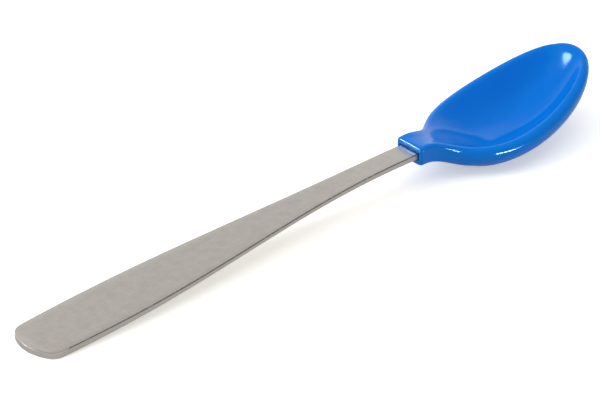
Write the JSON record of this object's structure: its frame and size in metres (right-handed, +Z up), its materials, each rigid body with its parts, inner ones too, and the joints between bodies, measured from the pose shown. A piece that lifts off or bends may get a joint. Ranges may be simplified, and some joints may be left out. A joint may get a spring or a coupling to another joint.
{
  "type": "baby spoon",
  "caption": "Small feeding spoon: a flat tapered steel handle that rises to its neck, and a glossy plastic bowl with a thick rounded rim moulded over the handle's tang.",
  "frame": {"origin": "centre of the bounding box in plan, on the table that the spoon lies on", "axes": "+X from the handle's round end to the tip of the bowl, +Y to the left of that, +Z up out of the bowl"},
  "size_m": [0.1474, 0.0252, 0.0149],
  "materials": {
    "handle_steel": "stainless sheet, tumbled to an even satin, with sheared edges lightly rounded",
    "bowl_plastic": "blue plastic, smooth and glossy from a polished mould"
  },
  "bodies": {
    "root": {"steel_handle": "handle_steel", "moulded_bowl": "bowl_plastic"}
  },
  "joints": []
}
